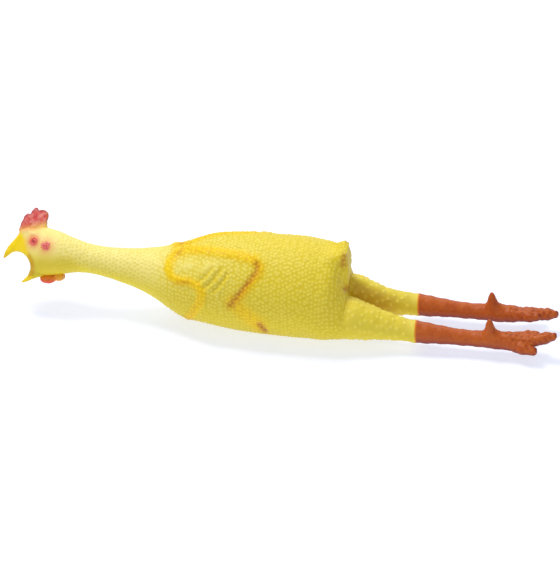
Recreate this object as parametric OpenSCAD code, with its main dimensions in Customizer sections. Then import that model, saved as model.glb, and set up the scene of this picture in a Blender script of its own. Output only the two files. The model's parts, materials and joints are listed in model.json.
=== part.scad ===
// Rubber chicken prop: a hollow moulded skin that flops at the neck, the lower beak, the comb,
// the tail, the hips, the hocks and the ankles, with a squeaker in the belly.
// It lies prone on a flat floor, beak towards -X, toes towards +X and its left side towards -Y.

/* [Overall] */
// Length from the tip of the upper beak to the tips of the middle toes
total_length = 525; // [521:1:531]
// Thickness of the moulded skin
wall = 2.2; // [1.8:0.1:2.4]
// Gap between two pieces that turn in each other
joint_gap = 0.3; // [0.2:0.05:0.4]

/* [Torso] */
// Radius of the barrel of the body
torso_r = 48; // [47.5:0.1:49]
// Height of the barrel's axis above the floor; less than its radius, so that the belly lies flat
torso_axis_z = 46; // [45.5:0.1:46.5]
// How far the wings stand out of the body
wing_relief = 3; // [2:0.5:4]
// Radius of the squeaker's cup
squeaker_r = 9; // [8:0.5:10]

/* [Neck] */
// Radius at the root of the neck
neck_root_r = 25; // [24.5:0.1:25.5]
// Radius at the thinnest place
neck_thin_r = 14; // [13.8:0.1:14.5]
// Radius behind the head
neck_head_r = 17.3; // [17:0.1:17.6]
// How far the neck rises towards the head, in degrees
neck_rise = 7.5; // [6:0.5:9]
// Spacing of the places where the neck bends
neck_step = 21.4; // [21:0.1:22]

/* [Head] */
// How far the head rolls over to its right side, in degrees
head_roll = 30; // [0:1:35]
// Radius of the round gape between the two halves of the beak
gape_r = 12.3; // [12:0.1:12.8]

/* [Legs] */
// Distance between the two legs
leg_spread = 44; // [43.5:0.5:46]
// Radius of the ball of the hip
hip_r = 18; // [17.5:0.1:18.5]
// Radius of the leg at the hock, where the colour changes
hock_r = 9.4; // [9.2:0.1:9.8]
// Radius of the shank above the foot
ankle_r = 6.6; // [6.4:0.1:6.8]

/* [Hidden] */
$fn = 64;

skin_yellow = [0.93, 0.85, 0.33];
paint_orange = [0.93, 0.68, 0.12];
beak_yellow = [0.97, 0.82, 0.1];
comb_red = [0.85, 0.28, 0.28];
leg_orange = [0.78, 0.33, 0.12];
squeaker_white = [0.92, 0.92, 0.88];
far = 200;  // larger than any cross-section

// Parts that turn, and the squeaker
tail_hinge_r = 5;
jaw_hinge_r = 2.4;
comb_hinge_r = 3;
cup_height = 14;
cup_wall = 1.6;
sound_hole_r = 2;

// Stations along the body, as distances from the beak tip, and heights above the floor
breast_at = 155;
tail_at = 311;
root_at = 145;
rump_at = 295;
rump_end_at = 328;
hip_at = 329;
hock_at = 390;
ankle_at = 447;
squeaker_at = 285;
root_z = 48.5;
hip_z = 28;
hock_z = 20.5;
ankle_z = 17.5;
tail_z = 84;
thigh_length = norm([hock_at - hip_at, hip_z - hock_z]);
thigh_fall = atan2(hip_z - hock_z, hock_at - hip_at);
shank_length = norm([ankle_at - hock_at, hock_z - ankle_z]);
shank_fall = atan2(hock_z - ankle_z, ankle_at - hock_at);

function at(d) = d - total_length / 2;

// How far the rim of a socket stays behind the centre of its ball, for a bend of up to 25 degrees
function rim_back(r) = 0.27 * r + 0.6;

// Radius of the neck at w along its axis from the root joint
function neck_profile(w) =
    w < 3 * neck_step ? neck_thin_r + (neck_root_r - neck_thin_r) * pow(1 - w / (3 * neck_step), 1.9) :
    neck_thin_r + (neck_head_r - neck_thin_r) * pow((w - 3 * neck_step) / neck_step, 1.2);
function neck_ball(i) = neck_profile(i * neck_step) - wall / 2;

// Outline of the torso, [radius, distance behind the neck's root joint]:
// the breast swells, the barrel runs on, the rump closes
function torso_outline(grow, rump = true) = concat(
    [[0, breast_at - root_at]],
    [for (i = [0:4]) [28.5 + 10.5 * sin(90 * i / 4) + grow, breast_at + 6 * i - root_at]],
    [for (i = [1:6]) [39 + (torso_r - 39) * sin(15 * i) + grow, 179 + 13 * i - root_at]],
    rump
        ? concat(
            [for (i = [0:5]) [
                torso_r * pow(cos(15 * i), 0.55) + grow,
                rump_at + (rump_end_at - rump_at + grow) * pow(sin(15 * i), 0.75) - root_at
            ]],
            [[0, rump_end_at + grow - root_at]]
        )
        : [[0, 257 - root_at]]
);

function arc(r, low, high, n = 8) =
    [for (i = [0:n]) let (a = low + (high - low) * i / n) [r * cos(a), r * sin(a)]];

// Ring outline of a hollow section, [radius, w]: a ball end open at its pole, then the skin
function section_outline(ball_r, skin) = concat(
    arc(ball_r, -60, 0), skin,
    [for (i = [len(skin) - 1:-1:0]) [skin[i][0] - wall, skin[i][1]]],
    arc(ball_r - wall, 0, -60)
);

module revolved(points) rotate_extrude() polygon(points);
module ball(r) sphere(r = r);

// A hollow section with a ball at w = 0 and, at w = length, a socket for the next ball
module section(ball_r, skin, next_r, length) difference() {
    revolved(section_outline(ball_r, skin));
    translate([0, 0, length]) ball(next_r + joint_gap);
}

// A tapering toe, or any other finger shape, along +Z
module finger(r1, r2, length) revolved(concat(
    arc(r1, -90, 0), [for (p = arc(r2, 0, 90)) p + [0, length]]
));

module neck_frame(i) translate([at(root_at), 0, root_z]) rotate([0, neck_rise - 90, 0])
    translate([0, 0, i * neck_step]) children();
// In the head's frame X runs forwards along the beak, Z up through the comb
module head_frame() neck_frame(4) rotate([0, 90 - neck_rise, 0]) rotate([-head_roll, 0, 0])
    mirror([1, 0, 0]) children();
module along_beak() rotate([0, 90, 0]) children();
module side_outline(width) rotate([90, 0, 0]) linear_extrude(width, center = true) children();
module leg_frame(d, z, fall) translate([at(d), -leg_spread / 2, z]) rotate([0, 90 + fall, 0]) children();
module torso_frame() translate([at(root_at), 0, torso_axis_z]) rotate([0, 90, 0]) children();
module mirrored() mirror([0, 1, 0]) children();
module both_sides() {
    children();
    mirrored() children();
}

// ---- torso ----
module torso_solid(grow) union() {
    torso_frame() revolved(torso_outline(grow));
    neck_frame(0) revolved([
        [0, -25], [31.5 + grow, -25], [28.6 + grow, -14],
        [26.6 + grow, -rim_back(neck_ball(0))], [0, -rim_back(neck_ball(0))]
    ]);
    both_sides() leg_frame(hip_at, hip_z, thigh_fall) revolved([
        [0, -50], [14, -50], [hip_r + 1 + grow, -30], [hip_r + 2.2 + grow, -14],
        [hip_r + 1.6 + grow, -rim_back(hip_r)], [0, -rim_back(hip_r)]
    ]);
}
module below(z) translate([-far, -far / 2, z - far]) cube([2 * far, far, far]);
module tail_notch() translate([at(tail_at), 0, tail_z]) {
    side_outline(30) circle(tail_hinge_r + joint_gap);
    side_outline(30) polygon([[0, -5.3], [far / 4, -26], [far / 4, 30], [-2, 30], [-2, 0]]);
}
module torso_skin() color(skin_yellow) difference() {
    torso_solid(0);
    below(0);
    difference() {
        torso_solid(-wall);
        below(wall);
        // the seat of the tail stays solid
        translate([at(tail_at) - 12, -20, tail_z - 24]) cube([40, 40, 40]);
    }
    neck_frame(0) ball(neck_ball(0) + joint_gap);
    both_sides() leg_frame(hip_at, hip_z, thigh_fall) ball(hip_r + joint_gap);
    tail_notch();
    translate([at(squeaker_at), 0, -1]) cylinder(r = squeaker_r, h = wall + 2);
}
module wing() difference() {
    intersection() {
        torso_frame() revolved(torso_outline(wing_relief, false));
        translate([0, -far / 2, torso_axis_z]) side_outline(far) polygon(concat(
            [for (p = arc(19, 90, 270, 12)) p + [at(179), 17]],
            [[at(231), 13], [at(245), 29], [at(226), 37]]
        ));
        translate([-far, -far, 0]) cube([2 * far, far, far]);
    }
    torso_frame() revolved(torso_outline(0));
}
module left_wing() color(paint_orange) wing();
module right_wing() color(paint_orange) mirrored() wing();
// The cup is pressed into the belly from inside, mouth up; its flange lies on the inside of the skin
module squeaker_cup() color(squeaker_white) translate([at(squeaker_at), 0, 0.5]) difference() {
    union() {
        cylinder(r = squeaker_r, h = cup_height);
        translate([0, 0, wall - 0.5]) cylinder(r = squeaker_r + 2, h = 1.2);
    }
    translate([0, 0, 1.5]) cylinder(r = squeaker_r - cup_wall, h = cup_height);
    translate([0, 0, -1]) cylinder(r = sound_hole_r, h = 5);
}
module squeaker_reed() color(comb_red) translate([at(squeaker_at), 0, 0.5]) {
    difference() {
        translate([0, 0, 1.5]) cylinder(r = squeaker_r - cup_wall, h = 3);
        cylinder(r = sound_hole_r, h = 8);
    }
    translate([-4, -2, 4.5]) cube([8, 4, 0.6]);
}
module tail() color(skin_yellow) translate([at(tail_at), 0, tail_z]) {
    side_outline(26) circle(tail_hinge_r);
    side_outline(22) polygon([[1, -4.5], [14, -4.5], [18.3, 0], [18.3, 9], [15, 13.5], [1, 4.8]]);
}

// ---- neck ----
module neck_section(i) neck_frame(i) {
    rim = neck_step - rim_back(neck_ball(i + 1));
    section(
        neck_ball(i),
        [for (k = [0:5]) let (w = 5 + (rim - 5) * k / 5) [neck_profile(i * neck_step + w), w]],
        neck_ball(i + 1), neck_step
    );
}
module neck_base() color(skin_yellow) neck_section(0);
module neck_lower() color(skin_yellow) neck_section(1);
module neck_middle() color(skin_yellow) neck_section(2);
module neck_upper() color(skin_yellow) neck_section(3);

// ---- head ----
gape = [47.3, -15.6];       // centre of the gape, forwards and up from the head's joint
comb_back = [18, 24.5];     // the line that the comb bends along
comb_front = [44, 19.5];
jaw = [33.5, -23.5];        // the line that the lower beak bends along
head_points = [
    [neck_ball(4) + 0.1, 1.5], [19, 8], [21.8, 14], [23.5, 22], [23.6, 28], [22, 34], [17.5, 40], [9, 44], [0, 45.5]
];
module head_solid() along_beak() revolved(concat([[0, 1.5]], head_points));
module line_rod(a, b, r) translate([a[0], 0, a[1]]) rotate([0, 90 - atan2(b[1] - a[1], b[0] - a[0]), 0])
    cylinder(r = r, h = norm(b - a));
module gape_hole(r) translate([gape[0], 0, gape[1]]) rotate([90, 0, 0]) cylinder(r = r, h = far, center = true);
module jaw_rod(r, width) translate([jaw[0], 0, jaw[1]]) rotate([90, 0, 0]) cylinder(r = r, h = width, center = true);
module chin_space() {
    jaw_rod(jaw_hinge_r + joint_gap, 30);
    translate([jaw[0] + 0.8, -15, -far / 2]) cube([30, 30, far / 2 - 17]);
}
module beak_solid() intersection() {
    side_outline(far) difference() {
        polygon([[34, 15], [40, 21], [45.5, 19], [50.5, 11], [57, 3.5], [60.3, -7.7], [36, -12]]);
        translate(gape) circle(gape_r);
    }
    linear_extrude(far, center = true) polygon([[30, -9], [50, -7], [60.5, -1.5], [60.5, 1.5], [50, 7], [30, 9]]);
}
module head_skin() color(skin_yellow) head_frame() difference() {
    along_beak() revolved(concat(arc(neck_ball(4), -90, 0), head_points));
    // the head is thick, so that the comb, the mouth and the lower beak have a root
    along_beak() revolved(concat(
        arc(neck_ball(4) - wall, -90, 0), [[16.5, 8], [18, 14], [18, 23], [12, 28], [0, 29]]
    ));
    along_beak() translate([0, 0, -far]) cylinder(r = neck_ball(4) / 2, h = far);
    gape_hole(gape_r + 1);
    comb_groove();
    chin_space();
    beak_solid();
}
module comb_groove() line_rod(comb_back - [1, -0.2], comb_front + [6, -1.2], comb_hinge_r + joint_gap);
module upper_beak() color(beak_yellow) head_frame() difference() {
    beak_solid();
    comb_groove();
}
// The lip and back of the mouth
module mouth_lining() color(paint_orange) head_frame() difference() {
    intersection() {
        head_solid();
        gape_hole(gape_r + 1);
    }
    gape_hole(gape_r);
    chin_space();
    beak_solid();
    translate([gape[0] - 6, -far / 2, -far / 2]) cube(far);
}
module lower_beak() color(beak_yellow) head_frame() {
    jaw_rod(jaw_hinge_r, 18);
    intersection() {
        side_outline(far) polygon([jaw + [0, 2.2], jaw + [2.5, 1], [43.6, -29.6], [42.8, -30.6], jaw + [-0.6, -2.3]]);
        linear_extrude(far, center = true) polygon([[30, -8], [36, -8], [43.6, -2], [43.6, 2], [36, 8], [30, 8]]);
    }
}
module comb() color(comb_red) head_frame() {
    line_rod(comb_back, comb_front, comb_hinge_r);
    side_outline(4.4) polygon([
        comb_back, [18.6, 36], [21.5, 38], [25, 38.3], [27.5, 37], [30.5, 39.5], [33.5, 38],
        [36, 34.5], [38.5, 34], [41.5, 29], comb_front
    ]);
}
// Features of the head's right side, in the head's frame
module eye() difference() {
    translate([33.1, 19.8, 8.8]) ball(3.5);
    head_solid();
}
module ear() difference() {
    translate([21.3, 20.3, 5.4]) ball(5);
    head_solid();
}
module wattle() difference() {
    translate([12.5, 4.6, -24]) rotate([0, 90, 0]) finger(3.6, 3.6, 12);
    head_solid();
}
module left_eye() color(comb_red) head_frame() mirrored() eye();
module right_eye() color(comb_red) head_frame() eye();
module left_ear() color(comb_red) head_frame() mirrored() ear();
module right_ear() color(comb_red) head_frame() ear();
module left_wattle() color(comb_red) head_frame() mirrored() wattle();
module right_wattle() color(comb_red) head_frame() wattle();

// ---- legs ----
module thigh() leg_frame(hip_at, hip_z, thigh_fall) section(
    hip_r,
    [[hip_r, 3], [hip_r + 0.4, 9], [16.6, 18], [13.2, 32], [11.2, 46], [hock_r + 1.2, thigh_length - rim_back(hock_r)]],
    hock_r, thigh_length
);
module shank() leg_frame(hock_at, hock_z, shank_fall) section(
    hock_r,
    [[hock_r, 1], [9.6, 5], [8.2, 18], [7.3, 34], [7.2, 46], [ankle_r + 1.2, shank_length - rim_back(ankle_r)]],
    ankle_r, shank_length
);
module foot_frame() leg_frame(ankle_at, ankle_z, 0) children();
palm_end = 40;
module palm_solid() revolved(concat(
    arc(ankle_r, -90, 0), [[ankle_r, 0.5], [7.2, 5], [7.4, 20], [8, 30]],
    [for (p = arc(8, 10, 90)) p + [0, palm_end - 8]]
));
module toe_solid(turn, lift, start, r1, r2, length)
    translate([0, 0, start]) rotate([turn, lift, 0]) finger(r1, r2, length);
module middle_toe_solid() toe_solid(0, -3, 34, 4.8, 3.4, total_length - ankle_at - 34 - 3.4);
module inner_toe_solid() toe_solid(-17, -2, 34, 4.6, 3.4, 22);
module palm() foot_frame() palm_solid();
module hind_toe() foot_frame() difference() {
    toe_solid(0, -84, 14, 4.6, 2.8, 20);
    palm_solid();
}
module middle_toe() foot_frame() difference() {
    middle_toe_solid();
    palm_solid();
}
module inner_toe() foot_frame() difference() {
    inner_toe_solid();
    palm_solid();
    middle_toe_solid();
}
module outer_toe() foot_frame() difference() {
    toe_solid(22, 8, 32, 4.8, 3.6, 25);
    palm_solid();
    middle_toe_solid();
    inner_toe_solid();
}
module left_thigh() color(skin_yellow) thigh();
module right_thigh() color(skin_yellow) mirrored() thigh();
module left_shank() color(leg_orange) shank();
module right_shank() color(leg_orange) mirrored() shank();
module left_palm() color(leg_orange) palm();
module right_palm() color(leg_orange) mirrored() palm();
module left_hind_toe() color(leg_orange) hind_toe();
module right_hind_toe() color(leg_orange) mirrored() hind_toe();
module left_inner_toe() color(leg_orange) inner_toe();
module right_inner_toe() color(leg_orange) mirrored() inner_toe();
module left_middle_toe() color(leg_orange) middle_toe();
module right_middle_toe() color(leg_orange) mirrored() middle_toe();
module left_outer_toe() color(leg_orange) outer_toe();
module right_outer_toe() color(leg_orange) mirrored() outer_toe();

torso_skin();
left_wing();
right_wing();
squeaker_cup();
squeaker_reed();
tail();
neck_base();
neck_lower();
neck_middle();
neck_upper();
head_skin();
upper_beak();
mouth_lining();
lower_beak();
comb();
left_eye();
right_eye();
left_ear();
right_ear();
left_wattle();
right_wattle();
left_thigh();
right_thigh();
left_shank();
right_shank();
left_palm();
right_palm();
left_hind_toe();
right_hind_toe();
left_inner_toe();
right_inner_toe();
left_middle_toe();
right_middle_toe();
left_outer_toe();
right_outer_toe();
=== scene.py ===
import json
import math

import bpy
import numpy as np
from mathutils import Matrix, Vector, kdtree


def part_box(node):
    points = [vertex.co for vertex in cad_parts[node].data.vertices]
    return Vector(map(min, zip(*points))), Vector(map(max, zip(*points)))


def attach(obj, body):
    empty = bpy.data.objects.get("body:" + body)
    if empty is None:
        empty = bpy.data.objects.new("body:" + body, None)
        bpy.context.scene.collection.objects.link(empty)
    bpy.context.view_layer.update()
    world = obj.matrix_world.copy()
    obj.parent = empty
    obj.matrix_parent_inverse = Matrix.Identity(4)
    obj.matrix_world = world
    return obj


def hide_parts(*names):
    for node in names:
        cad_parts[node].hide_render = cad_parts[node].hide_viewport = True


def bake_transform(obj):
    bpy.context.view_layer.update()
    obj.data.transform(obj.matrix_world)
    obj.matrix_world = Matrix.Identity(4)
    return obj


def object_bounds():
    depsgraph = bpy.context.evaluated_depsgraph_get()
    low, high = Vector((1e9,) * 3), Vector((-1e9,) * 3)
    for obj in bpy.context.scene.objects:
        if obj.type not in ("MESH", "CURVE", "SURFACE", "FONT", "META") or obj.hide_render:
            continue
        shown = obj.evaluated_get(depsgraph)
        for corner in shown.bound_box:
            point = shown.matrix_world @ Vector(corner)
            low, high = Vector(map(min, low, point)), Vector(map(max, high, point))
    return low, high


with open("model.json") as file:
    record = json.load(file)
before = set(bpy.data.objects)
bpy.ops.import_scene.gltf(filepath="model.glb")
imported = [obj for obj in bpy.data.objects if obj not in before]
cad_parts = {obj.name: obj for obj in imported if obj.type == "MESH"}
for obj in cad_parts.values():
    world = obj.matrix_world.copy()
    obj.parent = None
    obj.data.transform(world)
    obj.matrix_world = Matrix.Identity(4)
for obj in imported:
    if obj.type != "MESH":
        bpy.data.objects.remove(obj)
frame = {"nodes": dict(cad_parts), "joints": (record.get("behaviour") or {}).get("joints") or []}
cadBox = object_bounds()
print("frame loaded:", len(frame["nodes"]), "nodes")

# Everything below is in millimetres until a mesh is written.
# station = distance from the tip of the beak, along the whole bird
beakTip = cadBox[0][0] * 1000
mm = 0.001


def stationX(station):
    return station + beakTip


# ---------- stage, light and camera ----------
view = {"azimuth": 8.0, "elevation": 35.0, "distance": 5.0, "width": 0.5265, "target": (0, 0, 0.042)}
lights = {
    "key": {"place": (-0.55, 0.15, 1.5), "size": 0.5, "power": 15.5},
    "fill": {"place": (0.7, -1.4, 0.9), "size": 1.4, "power": 3},
    "back": {"place": (0.2, 1.3, 1.1), "size": 0.9, "power": 6},
}
room = {
    "skyStrength": 0.4, "floorHalf": 6,
    "paper": (0.50, 0.515, 0.60, 1), "glow": (0.81, 0.86, 0.975, 1), "glowStrength": 0.7,
}


def viewAxes():
    # to the right, up, and towards the camera
    a, e = math.radians(view["azimuth"]), math.radians(view["elevation"])
    right = (math.cos(a), math.sin(a), 0)
    up = (-math.sin(a) * math.sin(e), math.cos(a) * math.sin(e), math.cos(e))
    return right, up, np.cross(right, up)


def buildStage():
    scene = bpy.context.scene
    scene.view_settings.view_transform = "Standard"
    world = bpy.data.worlds.new("softRoom")
    world.use_nodes = True
    sky = world.node_tree.nodes["Background"]
    sky.inputs["Color"].default_value = (1, 1, 1, 1)
    sky.inputs["Strength"].default_value = room["skyStrength"]
    scene.world = world
    mesh = bpy.data.meshes.new("floor")
    half = room["floorHalf"]
    floorCorners = [(-half, -half, 0), (half, -half, 0), (half, half, 0), (-half, half, 0)]
    mesh.from_pydata(floorCorners, [], [(0, 1, 2, 3)])
    floor = bpy.data.objects.new("floor", mesh)
    scene.collection.objects.link(floor)
    paper = bpy.data.materials.new("palePaper")
    paper.use_nodes = True
    shader = paper.node_tree.nodes["Principled BSDF"]
    shader.inputs["Base Color"].default_value = room["paper"]
    shader.inputs["Roughness"].default_value = 0.9
    shader.inputs["Specular IOR Level"].default_value = 0
    shader.inputs["Emission Color"].default_value = room["glow"]
    shader.inputs["Emission Strength"].default_value = room["glowStrength"]
    mesh.materials.append(paper)
    for name, light in lights.items():
        data = bpy.data.lights.new(name, "AREA")
        data.energy = light["power"]
        data.size = light["size"]
        lamp = bpy.data.objects.new(name, data)
        lamp.location = light["place"]
        aim = Vector(view["target"]) - lamp.location
        lamp.rotation_euler = aim.to_track_quat("-Z", "Y").to_euler()
        scene.collection.objects.link(lamp)
    back = Vector(viewAxes()[2])
    data = bpy.data.cameras.new("camera")
    data.sensor_fit = "HORIZONTAL"
    data.lens = data.sensor_width * view["distance"] / view["width"]
    camera = bpy.data.objects.new("camera", data)
    camera.location = Vector(view["target"]) + back * view["distance"]
    camera.rotation_euler = (-back).to_track_quat("-Z", "Y").to_euler()
    scene.collection.objects.link(camera)
    scene.camera = camera
    print("stage, lights and camera placed")


# ---------- shapes as distance fields ----------
def join(a, b, k):
    # smooth union: the crease between a and b is filled over about k
    h = np.clip(0.5 + 0.5 * (b - a) / k, 0, 1)
    return b * (1 - h) + a * h - k * h * (1 - h)


def carve(a, b, k):
    # a without b, with a rounded edge
    return -join(-a, b, k)


def blur(values, reach):
    kernel = np.hanning(2 * reach + 3)[1:-1]
    padded = np.pad(values, reach, mode="edge")
    return np.convolve(padded, kernel / kernel.sum(), mode="valid")


def smoothStep(low, high, value):
    t = np.clip((value - low) / (high - low), 0, 1)
    return t * t * (3 - 2 * t)


# station, height of the axis, radius
trunkStations = [
    (38, 61.5, 17), (50, 61, 20.6), (57, 60.6, 19.4), (63, 60.2, 17.3), (69, 59.8, 15.9),
    (80, 58.2, 14.0), (91, 56.6, 13.9), (103, 54.6, 14.9), (114, 53.2, 16.6), (125, 51.6, 18.4),
    (137, 49.9, 21.4), (148, 47.6, 25.0), (160, 44.6, 30.0), (171, 43.2, 35.0), (182, 44.4, 38.4),
    (194, 45.8, 41.4), (205, 46.2, 43.5), (222, 45.6, 45.4), (245, 45.5, 47.0), (280, 45.2, 47.8),
    (292, 44.8, 47.3), (303, 44.0, 46.2),
]
# how far a crease between two forms is filled
fillet = {
    "limb": 2.0, "spur": 4.5, "hip": 14, "tail": 7, "belly": 4,
    "skull": 5, "neck": 7, "gape": 1.6, "lowerBeak": 2.5,
}
rump = {"from": 300, "to": 328, "sharpness": 3.0, "roundness": 0.48}
tableStep = np.arange(0, 541)
trunkPlaces, axisHeights, axisRadii = zip(*trunkStations)
trunkHeight = blur(np.interp(tableStep, trunkPlaces, axisHeights), 7)
trunkRadius = blur(np.interp(tableStep, trunkPlaces, axisRadii), 7)


def trunkSize(station):
    height = np.interp(station, tableStep, trunkHeight)
    radius = np.interp(station, tableStep, trunkRadius)
    t = np.clip((station - rump["from"]) / (rump["to"] - rump["from"]), 0, 1)
    return height, radius * (1 - t ** rump["sharpness"]) ** rump["roundness"]


def trunkField(x, y, z):
    station = x - beakTip
    height, radius = trunkSize(station)
    ahead = trunkSize(station + 1)[1]
    slope = np.minimum(np.abs(ahead - radius), 3)
    body = (np.sqrt(y * y + (z - height) ** 2) - radius) / np.sqrt(1 + slope * slope)
    return np.maximum(body, np.maximum(trunkPlaces[0] - station, station - rump["to"]))


def limbField(x, y, z, points):
    # points: (station, y, z, radius); round cones from one to the next
    found = None
    for (s0, y0, z0, r0), (s1, y1, z1, r1) in zip(points, points[1:]):
        along = np.array((s1 - s0, y1 - y0, z1 - z0))
        length2 = float(along @ along)
        px, py, pz = x - stationX(s0), y - y0, z - z0
        t = np.clip((px * along[0] + py * along[1] + pz * along[2]) / length2, 0, 1)
        away = np.sqrt((px - t * along[0]) ** 2 + (py - t * along[1]) ** 2 + (pz - t * along[2]) ** 2)
        part = away - (r0 + t * (r1 - r0))
        found = part if found is None else join(found, part, fillet["limb"])
    return found


# One leg, on the side where y is positive; the other is its mirror image
leg = {
    "limb": [
        (310, 24, 33, 19.5), (333, 23, 29.5, 19.4), (347, 22.5, 26.5, 16.6), (361, 22, 24, 13.4),
        (375, 22, 21.8, 11), (390, 22, 19.8, 10), (402, 22, 19, 9.2), (416, 22, 18.3, 8),
        (436, 22, 17.3, 7), (450, 22, 17.3, 7), (468, 22, 17.6, 8), (482, 22, 17.5, 7.4),
    ],
    "spur": [
        (461.5, 22, 20, 7.4), (461.5, 22, 25, 5.6), (461.3, 22, 30, 3.9), (460.8, 22, 34.5, 2.7),
        (460.6, 22, 38.2, 1.6),
    ],
    "aside": 22,
    "inward": 8,
    "stretch": 2.5,
    "toeLift": 5.5,
    "innerToe": [(476, 20, 18, 6), (489, 17.5, 19.5, 4.8), (497, 16, 20.6, 4.9), (504, 14.8, 21.5, 3.6)],
    "middleToe": [
        (478, 22, 18, 6.8), (493, 22, 18.4, 5.4), (500, 22, 19, 6.0), (507, 22, 19.8, 4.9),
        (513.5, 22, 20.4, 5.0), (520.5, 22, 21.2, 3.4),
    ],
    "outerToe": [(474, 23, 16.5, 6.2), (487, 27, 15.6, 5), (493, 29, 15.2, 5.2), (503, 32, 15, 3.6)],
}


def legField(x, y, z):
    # the right thigh lies further in than the left one
    # the left leg reaches further back, and its middle toe points up
    left = smoothStep(1, -4, y)
    station = x - beakTip
    x = stationX(legStation(x, y))
    shift = smoothStep(300, 335, station) * smoothStep(395, 350, station) * smoothStep(2, 16, y)
    side = np.abs(y) + leg["inward"] * shift
    found = limbField(x, side, z, leg["limb"])
    found = join(found, limbField(x, side, z, leg["spur"]), fillet["spur"])
    found = join(found, limbField(x, side, z, leg["innerToe"]), fillet["limb"])
    found = join(found, limbField(x, side, z, leg["outerToe"]), fillet["limb"])
    lift = leg["toeLift"] * left * smoothStep(496, 528, station)
    return join(found, limbField(x, side, z - lift, leg["middleToe"]), fillet["limb"])


# the head's own frame: forwards from its joint, sideways, and up through the comb
joints = {joint["name"]: joint for joint in frame["joints"]}
headPivot = np.array(joints["head_nod"]["pos_m"]) * 1000
headRoll = math.atan2(-joints["beak_close"]["axis"][2], joints["beak_close"]["axis"][1])


def toHead(x, y, z):
    c, s = math.cos(headRoll), math.sin(headRoll)
    dy, dz = y - headPivot[1], z - headPivot[2]
    return headPivot[0] - x, dy * c - dz * s, dy * s + dz * c


def fromHead(u, v, w):
    c, s = math.cos(headRoll), math.sin(headRoll)
    return headPivot[0] - u, headPivot[1] + v * c + w * s, headPivot[2] - v * s + w * c


def ellipsoid(u, v, w, centre, size):
    scaled = [(value - middle) / half for value, middle, half in zip((u, v, w), centre, size)]
    return (np.sqrt(sum(value * value for value in scaled)) - 1) * min(size)


def outlineField(u, w, outline):
    # distance to a closed outline in the plane, negative inside
    points = np.array(outline, float)
    best = np.full(np.shape(u), 1e9)
    inside = np.zeros(np.shape(u), bool)
    for (u0, w0), (u1, w1) in zip(points, np.roll(points, -1, axis=0)):
        du, dw = u1 - u0, w1 - w0
        t = np.clip(((u - u0) * du + (w - w0) * dw) / (du * du + dw * dw), 0, 1)
        best = np.minimum(best, (u - u0 - t * du) ** 2 + (w - w0 - t * dw) ** 2)
        crosses = (w0 > w) != (w1 > w)
        inside ^= crosses & (u < u0 + (w - w0) * du / (dw if dw else 1e-9))
    away = np.sqrt(best)
    return np.where(inside, -away, away)


def slabField(u, v, w, outline, halfWidth, edge):
    # an outline thickened sideways, with edges rounded over about edge
    return -join(-outlineField(u, w, outline), halfWidth - np.abs(v), edge)


head = {
    "skull": {"centre": (24.5, 0, 1.2), "size": (21.5, 19.2, 23.2)},
    "gape": {"centre": (45.4, -12.7), "radius": 12.6},
    "beak": [
        (28, 18), (38, 23), (44.6, 20.8), (50, 12.5), (57, 4), (60.5, -2), (62, -8.6), (59.4, -8),
        (51, -1.4), (36, -8), (28, -8),
    ],
    "beakWidth": [(28, 13), (38, 10.5), (46, 7.6), (53, 5), (60, 2)],
    "beakEdge": 4.5,
    "lowerBeak": [
        (24, -12), (32.4, -16), (34.2, -19), (36.5, -22.5), (42.1, -28.5), (41.3, -29.6), (36, -27.7),
        (31.6, -25.3), (22, -21),
    ],
    "lowerWidth": [(24, 12), (31, 10), (36, 6.4), (40, 3.8), (43, 2.2)],
    "lowerEdge": 2.5,
    "eye": {"u": 30.4, "w": 12, "aside": 17, "radius": 5.1},
    "ear": {"u": 18, "w": 8.6, "aside": 18, "radius": 6.4},
}


def gapeField(u, w):
    centre = head["gape"]["centre"]
    hole = np.sqrt((u - centre[0]) ** 2 + (w - centre[1]) ** 2) - head["gape"]["radius"]
    ahead = np.maximum(centre[0] - 1 - u, w - centre[1])  # open to the front and below
    return np.minimum(hole, np.maximum(ahead, -10 - u))


def headField(x, y, z):
    u, v, w = toHead(x, y, z)
    skull = head["skull"]
    skullPart = ellipsoid(u, v, w, skull["centre"], skull["size"])
    width = np.interp(u, *zip(*head["beakWidth"]))
    beakPart = slabField(u, v, w, head["beak"], width, head["beakEdge"])
    return join(skullPart, beakPart, fillet["skull"])


# station and height
tailShape = {
    "outline": [(296, 78), (312, 89), (322.5, 94.5), (326.5, 93), (329, 78), (328.5, 60), (305, 55)],
    "halfWidth": 14,
    "edge": 6,
}


def birdField(x, y, z):
    # the head and the legs are left out where they are too far away to matter
    body = trunkField(x, y, z)
    if np.min(x) < stationX(95):
        u, v, w = toHead(x, y, z)
        body = join(body, headField(x, y, z), fillet["neck"])
        body = carve(body, gapeField(u, w), fillet["gape"])
        lowerWidth = np.interp(u, *zip(*head["lowerWidth"]))
        lower = slabField(u, v, w, head["lowerBeak"], lowerWidth, head["lowerEdge"])
        body = join(body, lower, fillet["lowerBeak"])
    if np.max(x) > stationX(280):
        tail = slabField(x - beakTip, y, z, tailShape["outline"], tailShape["halfWidth"], tailShape["edge"])
        body = join(body, tail, fillet["tail"])
        body = join(body, legField(x, y, z), fillet["hip"])
    return carve(body, z - 0.1, fillet["belly"])  # the belly lies flat on the floor


# ---------- from a field to a mesh ----------
corners = [(i, j, k) for i in (0, 1) for j in (0, 1) for k in (0, 1)]
cellEdges = [(a, b) for a in range(8) for b in range(a + 1, 8) if math.dist(corners[a], corners[b]) == 1]
chunk = 24  # layers worked out at once


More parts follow.
